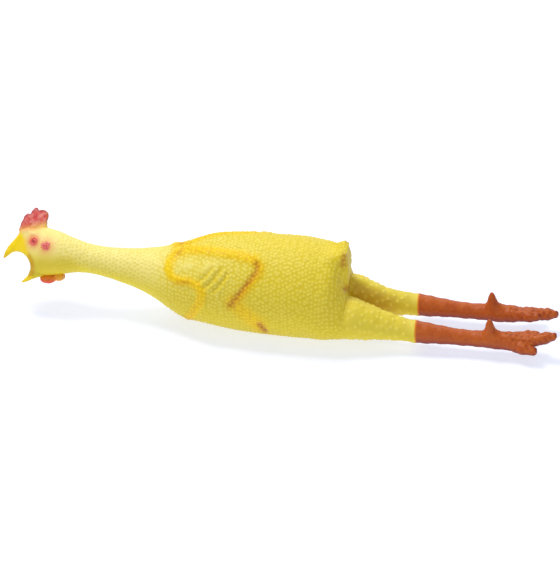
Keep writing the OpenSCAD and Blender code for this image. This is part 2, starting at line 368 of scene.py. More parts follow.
def netSurface(field, boxes, cell):
    # boxes: (low corner, high corner) where the field is worth working out; they share one grid
    low = np.min([box[0] for box in boxes], axis=0)
    high = np.max([box[1] for box in boxes], axis=0)
    count = np.ceil((high - low) / cell).astype(int) + 1
    values = np.full(count, 9, np.float32)
    for boxLow, boxHigh in boxes:
        first = np.floor((np.array(boxLow) - low) / cell).astype(int)
        last = np.minimum(np.ceil((np.array(boxHigh) - low) / cell).astype(int) + 1, count)
        for start in range(first[0], last[0], chunk):
            stop = min(start + chunk, last[0])
            spans = ((start, stop), (first[1], last[1]), (first[2], last[2]))
            lines = [np.float32(low[i]) + np.float32(cell) * np.arange(a, b, dtype=np.float32)
                     for i, (a, b) in enumerate(spans)]
            x, y, z = np.meshgrid(*lines, indexing="ij")
            values[start:stop, first[1]:last[1], first[2]:last[2]] = field(x, y, z)
    inside = values < 0
    cells = count - 1
    filled = np.zeros(cells, np.int8)
    for i, j, k in corners:
        filled += inside[i:cells[0] + i, j:cells[1] + j, k:cells[2] + k]
    mixed = np.argwhere((filled > 0) & (filled < 8))
    number = np.full(cells, -1, np.int64)
    number[tuple(mixed.T)] = np.arange(len(mixed))
    ends = np.stack([values[tuple((mixed + corner).T)] for corner in corners], axis=1)
    total = np.zeros((len(mixed), 3))
    hits = np.zeros(len(mixed))
    for a, b in cellEdges:
        crossed = (ends[:, a] < 0) != (ends[:, b] < 0)
        t = ends[crossed, a] / (ends[crossed, a] - ends[crossed, b])
        ca, cb = np.array(corners[a], float), np.array(corners[b], float)
        total[crossed] += ca + t[:, None] * (cb - ca)
        hits[crossed] += 1
    points = low + cell * (mixed + total / hits[:, None])
    faces = []
    for axis in range(3):
        side, other = (axis + 1) % 3, (axis + 2) % 3
        here = [slice(1, count[i] - 1) for i in range(3)]
        here[axis] = slice(0, count[axis] - 1)
        there = list(here)
        there[axis] = slice(1, count[axis])
        a, b = inside[tuple(here)], inside[tuple(there)]
        crossing = np.argwhere(a != b)
        outward = a[tuple(crossing.T)]
        offset = np.array([1 if i != axis else 0 for i in range(3)])
        base = crossing + offset
        quad = []
        for ds, do in ((0, 0), (-1, 0), (-1, -1), (0, -1)):
            cellIndex = base.copy()
            cellIndex[:, side] += ds
            cellIndex[:, other] += do
            quad.append(number[tuple(cellIndex.T)])
        quad = np.stack(quad, axis=1)
        quad[~outward] = quad[~outward][:, ::-1]
        faces.append(quad)
    return points, np.concatenate(faces)


def gradient(field, points, step=0.25):
    x, y, z = points.T
    return np.stack([
        field(x + step, y, z) - field(x - step, y, z),
        field(x, y + step, z) - field(x, y - step, z),
        field(x, y, z + step) - field(x, y, z - step),
    ], axis=1) / (2 * step)


def settle(field, points, rounds=2):
    # pull the points onto the surface, and return them with their outward directions
    for _ in range(rounds):
        slope = gradient(field, points)
        size2 = np.maximum((slope ** 2).sum(axis=1), 0.05)
        shift = np.clip(field(*points.T) / size2, -0.6, 0.6)
        points = points - slope * shift[:, None]
    slope = gradient(field, points)
    return points, slope / np.linalg.norm(slope, axis=1)[:, None]


def vertexNormals(points, faces):
    a, b, c, d = (points[faces[:, column]] for column in range(4))
    across = np.cross(c - a, d - b)
    total = np.zeros_like(points)
    for column in range(4):
        np.add.at(total, faces[:, column], across)
    return total / np.maximum(np.linalg.norm(total, axis=1), 1e-12)[:, None]


def writePiece(name, points, faces, normals, tints, material):
    # tints: attribute name -> one (r, g, b) of masks for each point
    used, packed = np.unique(faces, return_inverse=True)
    packed = packed.reshape(faces.shape)
    mesh = bpy.data.meshes.new(name)
    mesh.vertices.add(len(used))
    mesh.vertices.foreach_set("co", (points[used] * mm).ravel())
    mesh.loops.add(packed.size)
    mesh.loops.foreach_set("vertex_index", packed.ravel().astype(np.int32))
    mesh.polygons.add(len(packed))
    mesh.polygons.foreach_set("loop_start", np.arange(0, packed.size, 4, dtype=np.int32))
    mesh.update(calc_edges=True)
    mesh.polygons.foreach_set("use_smooth", np.ones(len(packed), bool))
    for label, values in tints.items():
        layer = mesh.attributes.new(label, "FLOAT_COLOR", "POINT")
        colours = np.ones((len(used), 4), np.float32)
        colours[:, :3] = values[used]
        layer.data.foreach_set("color", colours.ravel())
    mesh.normals_split_custom_set_from_vertices(normals[used].tolist())
    mesh.materials.append(material)
    piece = bpy.data.objects.new(name, mesh)
    bpy.context.scene.collection.objects.link(piece)
    return piece


# ---------- moulded relief and paint ----------
rng = np.random.default_rng(7)
goose = {
    "from": 50, "to": 330, "rear": (285, 345), "spacing": 3.5, "across": 4.0, "jitter": 0.5, "reach": 1.45,
    "height": 0.62,
}
pits = {"to": 128, "fade": 44, "last": 180, "reach": 1.2, "depth": 0.45}
pimples = {
    "from": 318, "to": 388, "spacing": 5.0, "across": 8.0, "jitter": 1.1, "reach": 1.15, "height": 0.85,
}
knobbly = {"from": 468, "to": 480, "pitch": 5.2, "height": 1.1}
# how far each moulded form stands out of the skin, or is sunk into it
relief = {
    "edge": 1.9, "crease": -1.8, "besideCrease": 1.3, "fold": -1.1, "besideFold": 0.7, "leaf": 0.9,
    "notch": -1.4, "tail": -1.0, "crotch": -1.2, "ring": 0.05, "scale": 0.07, "shank": 0.45,
}


def rowsOfPoints(rows, across, jitter, sizes, shift=0.0):
    # rings of points, each turned by half a step, so that they also run in slanting rows
    points = []
    for row, station in enumerate(rows):
        side, height, radius = sizes(station)
        count = max(5, round(2 * math.pi * radius / across))
        turns = (np.arange(count) + 0.5 * (row % 2) + shift) * 2 * math.pi / count
        sides, heights = side + radius * np.sin(turns), height + radius * np.cos(turns)
        ring = np.stack([np.full(count, stationX(station)), sides, heights], axis=1)
        points.append(ring + rng.normal(0, jitter, ring.shape))
    return np.concatenate(points)


def trunkRing(station):
    height, radius = trunkSize(station)
    return 0, float(height), float(radius)


def limbRing(station):
    stations, _, heights, radii = zip(*leg["limb"])
    return leg["aside"], np.interp(station, stations, heights), np.interp(station, stations, radii)


def fillGaps(centres, candidates, apart):
    # adds those candidates that are further than that from all centres so far
    cells = {}
    kept = [tuple(centre) for centre in centres]

    def cellOf(point):
        return tuple(int(math.floor(value / apart)) for value in point)

    for point in kept:
        cells.setdefault(cellOf(point), []).append(point)
    for point in candidates:
        ci, cj, ck = cellOf(point)
        near = [other for i in (-1, 0, 1) for j in (-1, 0, 1) for k in (-1, 0, 1)
                for other in cells.get((ci + i, cj + j, ck + k), ())]
        if all(math.dist(point, other) > apart for other in near):
            cells.setdefault((ci, cj, ck), []).append(tuple(point))
            kept.append(tuple(point))
    return np.array(kept)


def nearest(points, centres):
    tree = kdtree.KDTree(len(centres))
    for i, centre in enumerate(centres):
        tree.insert(centre, i)
    tree.balance()
    return np.array([tree.find(point)[2] for point in points])


def legStation(x, y):
    # the left leg reaches a little further back
    station = x - beakTip
    return station - leg["stretch"] * smoothStep(1, -4, y) * smoothStep(330, 392, station)


def lineDistance(u, w, line):
    # distance to a line of points, and how far along it the nearest place is, from 0 to 1
    best = np.full(len(u), 1e9)
    where = np.zeros(len(u))
    for i, ((u0, w0), (u1, w1)) in enumerate(zip(line, line[1:])):
        du, dw = u1 - u0, w1 - w0
        t = np.clip(((u - u0) * du + (w - w0) * dw) / (du * du + dw * dw), 0, 1)
        away = np.hypot(u - u0 - t * du, w - w0 - t * dw)
        where = np.where(away < best, i + t, where)
        best = np.minimum(best, away)
    return best, where / (len(line) - 1)


def ridge(u, w, line, width):
    return np.exp(-(lineDistance(u, w, line)[0] / width) ** 2)


def spot(u, w, centre, size, turn=0.0):
    c, s = math.cos(turn), math.sin(turn)
    du, dw = u - centre[0], w - centre[1]
    return np.exp(-((du * c + dw * s) / size[0]) ** 2 - ((dw * c - du * s) / size[1]) ** 2)


def lumps(a, b, c, pitch):
    # a few waves across each other, from -1 to 1
    k = 2 * math.pi / pitch
    first = np.sin(a * k + 1.3 * np.sin(b * k * 0.7))
    second = np.sin(b * k * 1.1 + 1.1 * np.sin(c * k * 0.8))
    return (first + second + np.sin(c * k * 0.9 + a * k * 0.6)) / 3


# Drawn on the plane that faces up and to the bird's left, in millimetres from the middle of the body at
# this height; both sides get the same drawing
wing = {
    "height": 42,
    "starts": (128, 148),
    "stops": (318, 302),
    "top": [(-104, 17), (-102.5, 24), (-97, 31.5), (-85, 35), (-61, 33), (-38, 29.5), (-25, 25)],
    "front": [
        (-104, 17), (-102, 10.5), (-95.5, 6.2), (-84.5, 5.4), (-77, 1.5), (-73, -6), (-75, -15),
        (-81, -22.5), (-87, -29),
    ],
    "crease": [(-26, 27), (-21, 20), (-21.5, 15), (-28.5, 5.5), (-37, -5.5), (-46, -16)],
    "lens": ((-87, 20), (13, 6), 0.3),
    "leaf": ((-68, 18), (13, 6), 0.35),
    "folds": [
        [(-76, 5), (-71, 9), (-63, 18)], [(-70, 0), (-63, 6), (-54, 17)], [(-62, -3), (-56, 2), (-49, 12)],
    ],
    "glow": [(-44, -14), (-32, -25), (-19, -36)],
    "notch": [(-19, -35), (-14, -41)],
    # centre, size, turn and strength
    "smudges": [
        ((-90, 5.2), (6, 1.9), 0.0, 0.45), ((-94, 32), (5, 2), 0.6, 0.5), ((-86, -29), (6, 2.5), 0.0, 0.35),
    ],
}
# the tail and crotch creases, sunk into the skin and darkened with brown as painted shade
rumpMarks = {"tail": [(60, 29), (59, 21)], "crotch": [(62, -1), (68, -2.5)], "starts": (300, 315)}


def facePlane(points):
    right, up, _ = viewAxes()
    x, y, z = points[:, 0], -np.abs(points[:, 1]), points[:, 2] - wing["height"]
    return x * right[0] + y * right[1], x * up[0] + y * up[1] + z * up[2]


def facing(normals):
    # 1 on the skin that faces that plane, 0 on the rest
    towards = viewAxes()[2]
    amount = normals[:, 0] * towards[0] - np.abs(normals[:, 1]) * towards[1] + normals[:, 2] * towards[2]
    return smoothStep(-0.1, 0.25, amount)


def wingArea(station, normals):
    return facing(normals) * smoothStep(*wing["starts"], station) * smoothStep(*wing["stops"], station)


def knobGrid(x, y, z):
    return lumps(x, np.abs(y), z, knobbly["pitch"])


def thighArea(station, z):
    return smoothStep(320, 334, station) * smoothStep(56, 46, z)


def skinDots(points):
    # closeness to a goose bump on the body, to a pit on the neck and to a pimple on a thigh, and what
    # counts as neck; all from 0 to 1
    station, z = points[:, 0] - beakTip, points[:, 2]
    stations = np.arange(goose["from"], goose["to"], goose["spacing"])
    rows = rowsOfPoints(stations, goose["across"], goose["jitter"], trunkRing)
    rows, _ = settle(birdField, rows, 10)
    stations = stations[stations < pits["last"]]
    between = rowsOfPoints(stations, goose["across"], goose["jitter"], trunkRing, 0.5)
    between, _ = settle(birdField, between, 10)
    rear = points[(station > goose["rear"][0]) & (station < goose["rear"][1]) & (z > 4)]
    rows = fillGaps(rows, rng.permutation(rear)[:9000], goose["spacing"])
    stations = np.arange(pimples["from"], pimples["to"], pimples["spacing"])
    spots = rowsOfPoints(stations, pimples["across"], pimples["jitter"], limbRing)
    spots = np.concatenate([spots, spots * (1, -1, 1)])
    spots, _ = settle(birdField, spots, 12)
    small, dent, large = (
        np.exp(-(nearest(points, centres) / kind["reach"]) ** 2)
        for centres, kind in ((rows, goose), (between, pits), (spots, pimples))
    )
    onBody = smoothStep(goose["from"] - 3, goose["from"] + 5, station)
    onNeck = smoothStep(pits["to"] + pits["fade"], pits["to"], station)
    onThigh = thighArea(station, z)
    small = small * onBody * (1 - onNeck) ** 0.5 * (1 - onThigh)
    large = large * onThigh * (1 - smoothStep(387, 390, station))
    return small, dent * onBody * onNeck, large, onNeck


def wingForms(u, w):
    top, front = ridge(u, w, wing["top"], 4.4), ridge(u, w, wing["front"], 3.8)
    shape = relief["edge"] * np.maximum(top, front) + relief["crease"] * ridge(u, w, wing["crease"], 2.4)
    shape = shape + relief["besideCrease"] * ridge(u - 4, w - 2, wing["crease"], 3.4)
    for fold in wing["folds"]:
        shape = shape + relief["fold"] * ridge(u, w, fold, 1.7)
        shape = shape + relief["besideFold"] * ridge(u - 2.6, w + 2, fold, 2.0)
    leaves = np.maximum(spot(u, w, *wing["lens"]), spot(u, w, *wing["leaf"]))
    return shape + relief["leaf"] * leaves + relief["notch"] * ridge(u, w, wing["notch"], 2.2), leaves


def shankForms(points, normals):
    # rings and scales on the shanks, knobs on the toes
    x, y, z = points.T
    station = x - beakTip
    rings = np.sin(station * 2 * math.pi / 3.1 + 0.8 * np.sin(z * 0.55) + 0.6 * np.sin(y * 0.8))
    scales = relief["ring"] * np.clip(rings, -1, 0.25)
    scales = scales + relief["scale"] * np.sin(station * 1.1 + 0.4 * z) * np.sin(z + np.abs(y) * 0.9)
    knobs = 0.2 + 0.3 * smoothStep(-0.2, 0.5, normals[:, 2])
    onToes = smoothStep(knobbly["from"], knobbly["to"], station)
    toes = knobbly["height"] * knobs * onToes * knobGrid(x, y, z)
    return (scales + relief["shank"]) * smoothStep(389, 393, station) + toes


def skinRelief(points, normals):
    station, z = points[:, 0] - beakTip, points[:, 2]
    u, w = facePlane(points)
    small, dent, large, onNeck = skinDots(points)
    shape, leaves = wingForms(u, w)
    wingZone = wingArea(station, normals)
    calm = leaves * wingZone
    rump = sum(relief[mark] * ridge(u, w, rumpMarks[mark], 2.6) for mark in ("tail", "crotch"))
    lift = goose["height"] * small * (1 - 0.75 * calm) - pits["depth"] * dent + pimples["height"] * large
    lift = lift + shape * wingZone + rump * facing(normals) * smoothStep(*rumpMarks["starts"], station)
    lift = (lift + shankForms(points, normals)) * smoothStep(0.3, 2.5, z)
    bumps = np.maximum(small, large) + onNeck * (1 - 0.75 * dent)
    bumps = (bumps + 0.5 * thighArea(station, z)) * (1 - 0.7 * calm) + 0.55 * calm
    return lift, {"bumps": np.clip(bumps, 0, 1)}


# the legs' own colour starts behind this line; the masks tell how far a point is from it over the span
legLine = {"station": 391.5, "slant": 0.07, "span": 16}


def wingPaint(u, w):
    # gold along the raised lines; brown, as painted shade, in the deep ones, with a few brown smudges; and
    # painted shade in the folds
    top, front = 0.8 * ridge(u, w, wing["top"], 5.4), ridge(u, w, wing["front"], 4.6)
    far, along = lineDistance(u, w, wing["crease"])
    crease = np.exp(-(far / (2.6 + 1.2 * along)) ** 2) * smoothStep(0.02, 0.14, along)
    glow, halo = ridge(u, w, wing["glow"], 8.5), ridge(u - 2.5, w + 1, wing["crease"], 5.5)
    gold = np.maximum.reduce([top, front, 0.75 * glow, 0.75 * halo])
    smudges = [strength * spot(u, w, *place) for *place, strength in wing["smudges"]]
    brownPaintAndShade = np.maximum.reduce([0.68 * crease, 0.8 * ridge(u, w, wing["notch"], 2.8), *smudges])
    folds = 0.7 * np.maximum.reduce([ridge(u, w, fold, 1.8) for fold in wing["folds"]])
    return gold, brownPaintAndShade, folds


def headPaint(u, w):
    # gold on the beak, rust round the mouth and on the tips, red at the eye, the ear and the comb
    beak = smoothStep(28, 44, u - 0.35 * np.clip(w - 2.6, -8, 30) - 0.5 * np.clip(w - 12, 0, 10))
    lower = smoothStep(-17, -21, w) * smoothStep(29, 33, u)
    mouth = head["gape"]["centre"]
    lip = np.exp(-((np.hypot(u - mouth[0], w - mouth[1]) - 15.2) / 2.3) ** 2)
    lip = lip * smoothStep(37, 33, u) * smoothStep(-25, -20, w)
    tips = np.maximum(smoothStep(55.5, 59, u), smoothStep(39.5, 42.5, u) * smoothStep(-20, -24, w))
    eye, ear = (np.hypot(u - head[mark]["u"], w - head[mark]["w"]) for mark in ("eye", "ear"))
    ear = ear + 0.9 * np.sin(u * 1.5) * np.cos(w * 1.3)
    underComb = smoothStep(17, 25, w + 0.15 * (u - 30)) * smoothStep(18, 34, u)
    red = np.maximum.reduce([
        np.exp(-(eye / 6.6) ** 2), 0.9 * smoothStep(head["ear"]["radius"], 3.0, ear),
        0.6 * np.exp(-(ear / 8.0) ** 2), 0.5 * underComb,
    ])
    return np.maximum.reduce([beak, lower, 0.8 * lip]), np.maximum(1.2 * lip, 0.35 * tips), red


def skinPaint(points, normals, facts):
    x, y, z = points.T
    station = x - beakTip
    u, w = facePlane(points)
    hu, _, hw = toHead(x, y, z)
    wingZone, inHead = wingArea(station, normals), smoothStep(78, 64, station)
    gold, brownPaintAndShade, folds = (mask * wingZone for mask in wingPaint(u, w))
    headGold, headRust, red = (mask * inHead for mask in headPaint(hu, hw))
    # painted shade: brown in the tail and crotch creases
    tail, crotch = ridge(u, w, rumpMarks["tail"], 3.2), ridge(u, w, rumpMarks["crotch"], 3.2)
    rump = np.maximum(0.6 * tail, 0.75 * crotch) * facing(normals)
    rump = rump * smoothStep(*rumpMarks["starts"], station)
    # painted shade: brown between the legs, behind the belly
    shadeBetweenLegs = smoothStep(15, 6, np.abs(y)) * smoothStep(328, 334, station)
    shadeBetweenLegs = shadeBetweenLegs * smoothStep(386, 360, station)
    gold = np.maximum(gold, headGold)
    brownPaintAndShade = np.maximum.reduce([brownPaintAndShade, rump, headRust, 0.42 * shadeBetweenLegs])
    past = legStation(x, y) - legLine["station"] + legLine["slant"] * (z - 20)
    line = np.clip(past / legLine["span"] + 0.5, 0, 1)
    # painted shade on the legs: darker where the skin faces down and in the gaps between the toe knobs; the
    # dark toe tips are the claws' own colour
    under = smoothStep(0.35, -0.6, normals[:, 2])
    for part in ("innerToe", "middleToe", "outerToe"):
        tipStation, tipSide = leg[part][-1][:2]
        away = np.hypot(legStation(x, y) - tipStation - 2.5, np.abs(y) - tipSide)
        under = np.maximum(under, 0.9 * np.exp(-(away / 2.6) ** 2))
    gaps = np.clip(-1.6 * knobGrid(x, y, z), 0, 1)
    under = np.maximum(under, 0.6 * gaps * smoothStep(knobbly["from"], knobbly["to"], station))
    plain = smoothStep(62, 50, station)
    # painted shade: the lower side of the head is darker
    throatShade = smoothStep(6, -14, hw) * inHead
    # painted highlight: the skin is paler where it faces up, more so towards the front, with a band of
    # painted sheen on the tops of the thighs; the lenses on the wings are paler too, and all of it less so
    # in the wing's folds
    upward = smoothStep(-0.4, 0.8, normals[:, 2])
    paleAndLit = (0.25 + 0.75 * smoothStep(300, 60, station)) * upward * (1 - 0.85 * throatShade)
    paleAndLit = np.maximum(paleAndLit, 0.4 * smoothStep(368, 388, station) * smoothStep(-0.2, 0.8, normals[:, 2]))
    leaves = np.maximum(spot(u, w, *wing["lens"]), 0.8 * spot(u, w, *wing["leaf"]))
    paleAndLit = np.maximum(paleAndLit, 0.8 * leaves * wingZone) * (1 - 0.5 * folds)
    shades = np.stack([paleAndLit, np.maximum(throatShade, 0.8 * folds), under], axis=1)
    paint = np.stack([gold, brownPaintAndShade, red], axis=1)
    marks = np.stack([np.maximum(facts["bumps"], plain), line, inHead], axis=1)
    return {"paint": np.clip(paint, 0, 1), "marks": marks, "shades": np.clip(shades, 0, 1)}


# ---------- materials ----------
class Wire:
    # one output of a node tree; sums and products of wires add the nodes that work them out
    def __init__(self, tree, socket=None):
        self.tree, self.socket = tree, socket

    def add(self, kind, settings, inputs, output=0):
        node = self.tree.nodes.new(kind)
        for name, value in settings.items():
            setattr(node, name, value)
        for name, value in inputs.items():
            if isinstance(value, Wire):
                self.tree.links.new(value.socket, node.inputs[name])
            else:
                node.inputs[name].default_value = value
        return Wire(self.tree, node.outputs[output])

    def maths(self, operation, *values):
        return self.add("ShaderNodeMath", {"operation": operation}, dict(enumerate(values)))

    def __add__(self, other):
        return self.maths("ADD", self, other)

    def __sub__(self, other):
        return self.maths("SUBTRACT", self, other)

    def __rsub__(self, other):
        return self.maths("SUBTRACT", other, self)

    def __mul__(self, other):
        return self.maths("MULTIPLY", self, other)

    __radd__, __rmul__ = __add__, __mul__

    def between(self, low, high):
        # 0 below low, 1 above high, with an eased change
        settings = {"interpolation_type": "SMOOTHSTEP"}
        return self.add("ShaderNodeMapRange", settings, {"Value": self, "From Min": low, "From Max": high})

    def mix(self, under, over):
        # this wire is the share of over
        settings = {"data_type": "RGBA", "clamp_factor": True}
        return self.add("ShaderNodeMix", settings, {0: self, 6: under, 7: over}, 2)

    def channels(self, name):
        colour = self.add("ShaderNodeAttribute", {"attribute_name": name}, {})
        node = self.add("ShaderNodeSeparateColor", {}, {"Color": colour}).socket.node
        return [Wire(self.tree, output) for output in node.outputs]

    def noise(self, scale, detail=2.0, roughness=0.5):
        place = self.add("ShaderNodeTexCoord", {}, {}, "Object")
        inputs = {"Vector": place, "Scale": scale, "Detail": detail, "Roughness": roughness}
        return self.add("ShaderNodeTexNoise", {}, inputs)


def colour(r, g, b):
    return (r, g, b, 1)


def newMaterial(name, build, **constants):
    # build(wire) returns the varying values: socket name -> wire
    material = bpy.data.materials.new(name)
    material.use_nodes = True
    tree = material.node_tree
    shader = tree.nodes["Principled BSDF"]
    for socket, value in constants.items():
        shader.inputs[socket.replace("_", " ")].default_value = value
    for socket, wire in build(Wire(tree)).items():
        tree.links.new(wire.socket, shader.inputs[socket])
    return material


def bump(wire, height, distance, strength):
    return wire.add("ShaderNodeBump", {}, {"Height": height, "Distance": distance, "Strength": strength})


skinColours = {
    # crest, the skin's colour on the bump tops and on the head, is lighter as a painted highlight; valley,
    # between the bumps and in the neck's pits, is darker as painted shade
    "crest": colour(0.87, 0.71, 0.045), "valley": colour(0.72, 0.55, 0.010),
    # the pale colour is the painted highlight on the lit tops; the mustard colour is painted shade
    "paleAndLit": colour(0.93, 0.81, 0.27), "mustardShade": colour(0.70, 0.51, 0.01),
    "gold": colour(0.94, 0.67, 0.002), "goldDark": colour(0.82, 0.50, 0.002),
    # the rust colour is brown paint at the mouth, on the tips and in smudges, and painted shade in the
    # creases
    "brownPaintAndShade": colour(0.50, 0.17, 0.01), "red": colour(0.76, 0.10, 0.055),
    # legDark is painted shade under the legs and between the knobs, and the colour of the dark toe tips
    "leg": colour(0.47, 0.078, 0.010), "legDark": colour(0.24, 0.022, 0.008),
    "legLight": colour(0.56, 0.125, 0.012), "legEdge": colour(0.85, 0.27, 0.01),
}


def skinBuild(wire):
    gold, brownPaintAndShade, red = wire.channels("paint")
    bumps, line, inHead = wire.channels("marks")
    paleAndLit, foldAndThroatShade, under = wire.channels("shades")
    slow, fine, grain = wire.noise(35), wire.noise(260, 3), wire.noise(1500, 2)
    c = skinColours
    # the crest colour turns paler under the painted highlight
    crest = (paleAndLit + (slow - 0.5) * 0.35).mix(c["crest"], c["paleAndLit"])
    # painted shade in mustard under the head and in the wing's folds
    crest = (foldAndThroatShade * 0.55).mix(crest, c["mustardShade"])
    # painted highlight on the tops of the bumps and painted shade between them and in the pits
    dots = (bumps + (fine - 0.5) * 0.35).between(0.1, 0.95)
    base = (dots * 0.75 + 0.12 + paleAndLit * 0.12).mix(c["valley"], crest)
    # the gold paint is darker between the bumps, as painted shade, and lighter on their tops, as painted
    # highlight
    golden = (bumps * 0.8 + fine * 0.4 + inHead * 0.5).between(0.1, 0.9).mix(c["goldDark"], c["gold"])
    painted = (gold + (fine - 0.5) * 0.3 * gold).between(0.05, 0.8).mix(base, golden)
    painted = (red * (0.65 + 0.7 * fine)).mix(painted, c["red"])
    # the brown is stronger between the bumps, as painted shade there
    painted = (brownPaintAndShade * (1.35 - bumps * 0.8) * (0.6 + 0.8 * fine)).mix(painted, c["brownPaintAndShade"])
    legs = (0.5 + (fine - 0.5) * 0.6 + (slow - 0.5) * 0.4).between(0.25, 0.75).mix(c["leg"], c["legLight"])
    # painted shade on the legs' undersides and between the knobs, with the dark toe tips
    legs = (under * 0.85 + (fine - 0.5) * 0.5).between(0.05, 1).mix(legs, c["legDark"])
    edge = line.between(0.5, 0.51) * (1 - line.between(0.55, 0.62))
    legs = (edge * 0.8).mix(legs, c["legEdge"])
    shank = line.between(0.5, 0.515)
    roughness = 0.42 + 0.12 * fine - 0.04 * shank
    rough = bump(wire, fine * 0.5 + grain * 0.5, 0.0006, 0.35)
    return {"Base Color": shank.mix(painted, legs), "Roughness": roughness, "Normal": rough}


# ---------- the skin, in pieces, one for each joint --------------------
# the head and the neck, the body, and the legs
skinBoxes = [
    ((-266, -36, 12), (-108, 36, 106)),
    ((-112, -54, -1), (72, 54, 104)),
    ((68, -50, -1), (266, 50, 54)),
]
skinCell = 0.8
points, faces = netSurface(birdField, skinBoxes, skinCell)
points, normals = settle(birdField, points)
print("skin surface found:", len(faces), "faces")
lift, facts = skinRelief(points, normals)
tints = skinPaint(points, normals, facts)
points = points + normals * lift[:, None]
normals = vertexNormals(points, faces)
print("relief pressed in")

skin = newMaterial("chickenSkin", skinBuild, Specular_IOR_Level=0.3)


def jointPlace(name):
    return np.array(joints[name]["pos_m"]) * 1000


neckNames = ["neck_root", "neck_low", "neck_mid", "neck_high", "head_nod"]
neckPlaces = [jointPlace(name) for name in neckNames]
neckWay = (neckPlaces[-1] - neckPlaces[0]) / np.linalg.norm(neckPlaces[-1] - neckPlaces[0])
middles = points[faces].mean(axis=1)
group = np.full(len(faces), "bodySkin", dtype="<U24")
alongNeck = (middles - neckPlaces[0]) @ neckWay
neckStep = np.linalg.norm(neckPlaces[1] - neckPlaces[0])
for i, name in enumerate(("neckBaseSkin", "neckLowerSkin", "neckMiddleSkin", "headSkin")):
    group[alongNeck > (i + 0.5) * neckStep] = name
station = middles[:, 0] - beakTip
hu, _, hw = toHead(*middles.T)
# a slanting cut through the lower beak in the head's frame, and one under the tail
beakCut = {
    "start": np.array((32.0, -18.5)), "way": np.array((0.68, -0.735)), "reach": 6,
    "under": -13.9, "from": 26, "to": 60,
}
tailCut = {
    "start": np.array((stationX(311), 0, 84.0)), "way": np.array((0.6, 0, 0.8)), "reach": 7,
    "above": 60, "from": 290,
}
pastBeakCut = (np.stack([hu, hw], axis=1) - beakCut["start"]) @ beakCut["way"] > -0.8
inLowerBeak = (hw < beakCut["under"]) & (hu > beakCut["from"]) & (hu < beakCut["to"])
group[pastBeakCut & inLowerBeak & (group == "headSkin")] = "lowerBeakSkin"
pastTailCut = (middles - tailCut["start"]) @ tailCut["way"] > -1.5
onTail = pastTailCut & (middles[:, 2] > tailCut["above"]) & (station > tailCut["from"])
group[onTail] = "tailSkin"
# where each piece of leg skin begins, and the two places, as station and height, between which it bends
legSkins = {
    "ThighSkin": {"from": 330.5, "bends": [(332, 27.7), (352, 25.2)]},
    "ShankSkin": {"from": 360, "bends": [(378, 20.5), (402, 20.5)]},
    "FootSkin": {"from": 418, "bends": [(437, 17.5), (457, 17.5)]},
}
sides = ((-1, "left"), (1, "right"))
for side, name in sides:
    half = (middles[:, 1] * side > 0) & ~onTail
    for part, skinPart in legSkins.items():
        group[half & (station > skinPart["from"])] = name + part

# piece: (body, next body, place of the joint between them, nodes that it stands in for)
neckSkins = {
    "bodySkin": ("torso", "neck_base", neckPlaces[0], ["torso_skin", "left_wing", "right_wing"]),
    "neckBaseSkin": ("neck_base", "neck_lower", neckPlaces[1], ["neck_base"]),
    "neckLowerSkin": ("neck_lower", "neck_middle", neckPlaces[2], ["neck_lower"]),
    "neckMiddleSkin": ("neck_middle", "neck_upper", neckPlaces[3], ["neck_middle"]),
    "headSkin": (
        "neck_upper", "head", neckPlaces[4], ["neck_upper", "head_skin", "upper_beak", "mouth_lining"],
    ),
}
neckReach = neckWay * 9.5
blends = {}
for name, (a, b, middle, nodes) in neckSkins.items():
    blends[name] = (a, b, middle - neckReach, middle + neckReach, nodes)
beakEnd = beakCut["start"] + beakCut["way"] * beakCut["reach"]
beakBend = [np.array(fromHead(u, 0, w)) for u, w in (beakCut["start"], beakEnd)]
blends["lowerBeakSkin"] = ("head", "lower_beak", *beakBend, ["lower_beak"])
tailEnd = tailCut["start"] + tailCut["way"] * tailCut["reach"]
blends["tailSkin"] = ("torso", "tail", tailCut["start"], tailEnd, ["tail"])
for side, name in sides:
    thigh, shank, foot = name + "_thigh", name + "_shank", name + "_foot"
    toes = [name + "_" + part for part in ("palm", "hind_toe", "inner_toe", "middle_toe", "outer_toe")]
    bodies = [("torso", thigh, [thigh]), (thigh, shank, [shank]), (shank, foot, toes)]
    for (part, skinPart), (a, b, nodes) in zip(legSkins.items(), bodies):
        bend = [np.array((stationX(s), side * leg["aside"], height)) for s, height in skinPart["bends"]]
        blends[name + part] = (a, b, *bend, nodes)
for name, (a, b, start, end, nodes) in blends.items():
    piece = writePiece(name, points, faces[group == name], normals, tints, skin)
    tuple(start * mm)
    tuple(end * mm)
    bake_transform(piece)
    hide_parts(*nodes)
print("skin pieces written")


# ---------- comb, eyes, ear patches and wattles ----------
def fieldPiece(name, field, low, high, cell, tintsOf, material):
    found, quads = netSurface(field, [(low, high)], cell)
    found, away = settle(field, found)
    return writePiece(name, found, quads, away, tintsOf(found), material)


def grownBox(node, grow):
    low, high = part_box(node)
    return np.array(low) * 1000 - grow, np.array(high) * 1000 + grow


fleshCell = 0.5
comb = {
    "outline": [
        (46, 15), (47.4, 20), (46.4, 25), (44.8, 29.6), (42.4, 34.4), (40.4, 36.2), (37.6, 36),
        (36.2, 39), (34, 42.2), (31.6, 42.6), (29.4, 40.2), (27, 41), (23.5, 40.4), (20.8, 38.6),
        (20, 35.8), (21.2, 30), (20.4, 22), (22, 12), (44, 8),
    ],
    "width": [(10, 4.6), (20, 3.2), (27, 2.5), (34, 2.1), (41, 1.5)],
    "edge": 1.6,
}


def combField(x, y, z):
    u, v, w = toHead(x, y, z)
    width = np.interp(w, *zip(*comb["width"]))
    slab = slabField(u, v, w, comb["outline"], width, comb["edge"])
    return slab - 0.3 * lumps(u, v + 7, w, 4.6)


